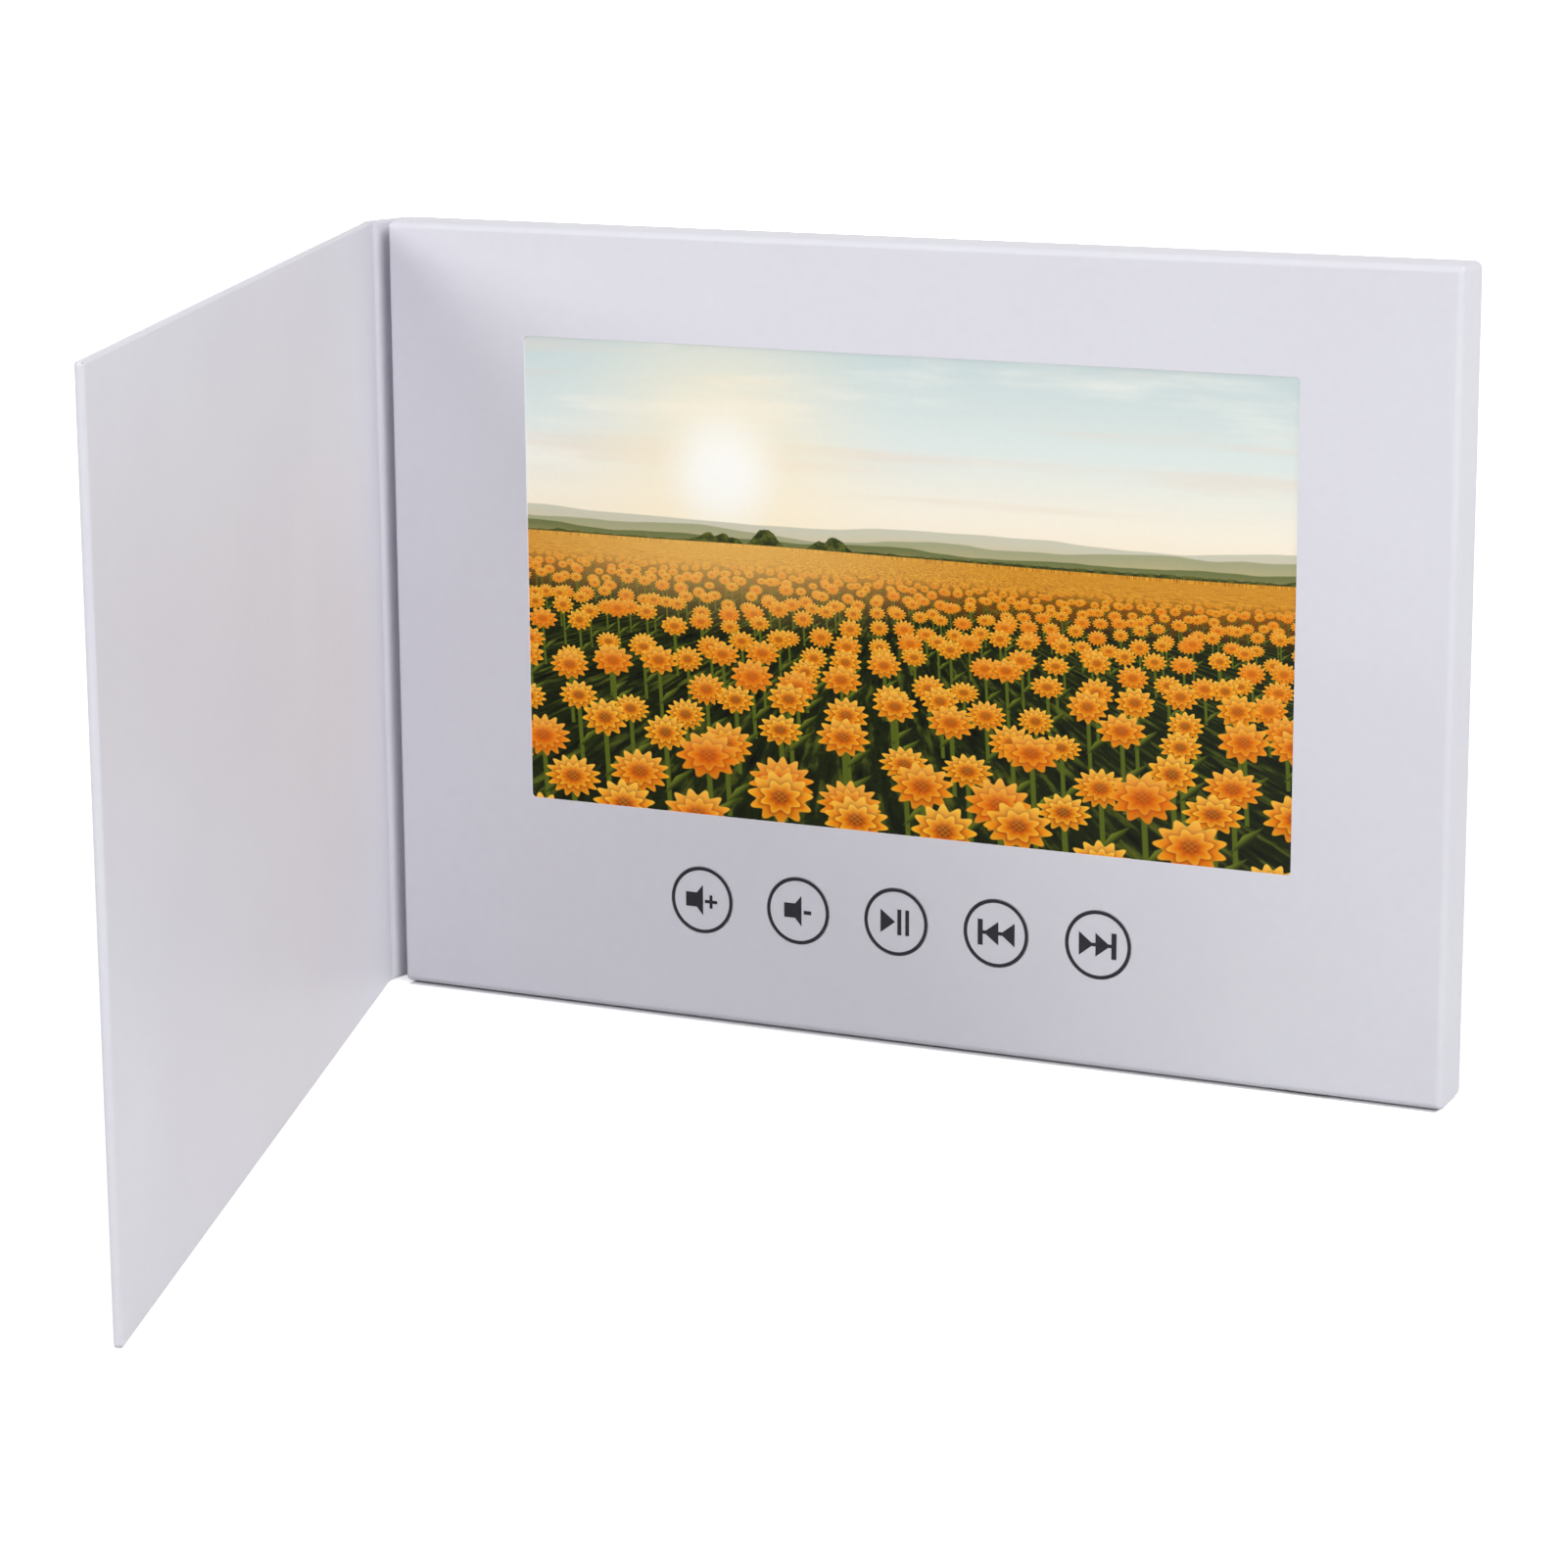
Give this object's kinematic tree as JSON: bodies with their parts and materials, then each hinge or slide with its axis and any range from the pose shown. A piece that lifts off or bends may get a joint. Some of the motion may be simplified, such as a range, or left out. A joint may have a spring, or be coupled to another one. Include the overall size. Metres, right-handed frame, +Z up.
{
  "type": "video brochure",
  "caption": "Hardcover video brochure: a folding paper case with a spine and a cover, and a flat screen box with a display, round push keys and a charging socket.",
  "frame": {"origin": "middle of the screen box's bottom face", "axes": "+X to the reader's right along the box, +Y from the screen to the back panel, +Z up the page"},
  "size_m": [0.2143, 0.2107, 0.148],
  "materials": {
    "white_card": "matte laminate",
    "greyboard": "matte",
    "ink": "matte print",
    "display_glass": "gloss",
    "light_guide": "gloss",
    "sheet_steel": "satin",
    "foam": "matte",
    "board_green": "satin",
    "black_plastic": "satin",
    "component": "satin",
    "amber_film": "gloss",
    "ivory_plastic": "satin",
    "ribbon": "gloss",
    "battery_foil": "satin",
    "red_insulation": "satin",
    "black_insulation": "satin",
    "speaker_metal": "satin",
    "speaker_paper": "matte",
    "magnet": "polished"
  },
  "bodies": {
    "box": {"tray_wrap": "white_card", "front_board": "greyboard", "frame_top": "greyboard", "frame_bottom": "greyboard", "frame_left": "greyboard", "frame_right": "greyboard", "back_board": "greyboard", "back_wrap": "white_card", "lcd_tape": "foam", "lcd_panel": "display_glass", "lcd_backlight": "light_guide", "lcd_tray": "sheet_steel", "lcd_flex": "amber_film", "back_foam": "foam", "main_board": "board_green", "chips": "black_plastic", "small_parts": "component", "usb_socket": "sheet_steel", "usb_tongue": "black_plastic", "flex_connector": "ivory_plastic", "wire_connectors": "ivory_plastic", "hall_sensor": "black_plastic", "board_foam": "foam", "key_board": "board_green", "switch_cases": "black_plastic", "switch_domes": "sheet_steel", "key_ribbon": "ribbon", "key_foam": "foam", "battery_cell": "battery_foil", "battery_board": "board_green", "battery_tape": "amber_film", "battery_wire_red": "red_insulation", "battery_wire_black": "black_insulation", "speaker_frame": "speaker_metal", "speaker_cone": "speaker_paper", "speaker_magnet": "magnet", "speaker_wires": "black_insulation"},
    "spine": {"spine_board": "greyboard", "spine_wrap": "white_card", "spine_liner": "white_card"},
    "cover": {"cover_board": "greyboard", "cover_wrap": "white_card", "cover_liner": "white_card", "cover_magnet": "magnet"},
    "volume_up_button": {"volume_up_key": "white_card", "volume_up_print": "ink", "volume_up_plunger": "black_plastic"},
    "volume_down_button": {"volume_down_key": "white_card", "volume_down_print": "ink", "volume_down_plunger": "black_plastic"},
    "play_button": {"play_key": "white_card", "play_print": "ink", "play_plunger": "black_plastic"},
    "previous_button": {"previous_key": "white_card", "previous_print": "ink", "previous_plunger": "black_plastic"},
    "next_button": {"next_key": "white_card", "next_print": "ink", "next_plunger": "black_plastic"}
  },
  "joints": [
    {"name": "spine_crease", "type": "hinge", "parent": "box", "child": "spine", "pos_m": [-0.1061, 0.00445, 0.074], "axis": [0, 0, 1], "range_deg": [-75.7, 14.3]},
    {"name": "cover_crease", "type": "hinge", "parent": "spine", "child": "cover", "pos_m": [-0.10877, -0.00602, 0.074], "axis": [0, 0, 1], "range_deg": [-34.2, 55.8]},
    {"name": "volume_up_press", "type": "slide", "parent": "box", "child": "volume_up_button", "axis": [0, 1, 0], "range_m": [0, 0.0003], "stiffness_N_per_m": 4000},
    {"name": "volume_down_press", "type": "slide", "parent": "box", "child": "volume_down_button", "axis": [0, 1, 0], "range_m": [0, 0.0003], "stiffness_N_per_m": 4000},
    {"name": "play_press", "type": "slide", "parent": "box", "child": "play_button", "axis": [0, 1, 0], "range_m": [0, 0.0003], "stiffness_N_per_m": 4000},
    {"name": "previous_press", "type": "slide", "parent": "box", "child": "previous_button", "axis": [0, 1, 0], "range_m": [0, 0.0003], "stiffness_N_per_m": 4000},
    {"name": "next_press", "type": "slide", "parent": "box", "child": "next_button", "axis": [0, 1, 0], "range_m": [0, 0.0003], "stiffness_N_per_m": 4000}
  ]
}
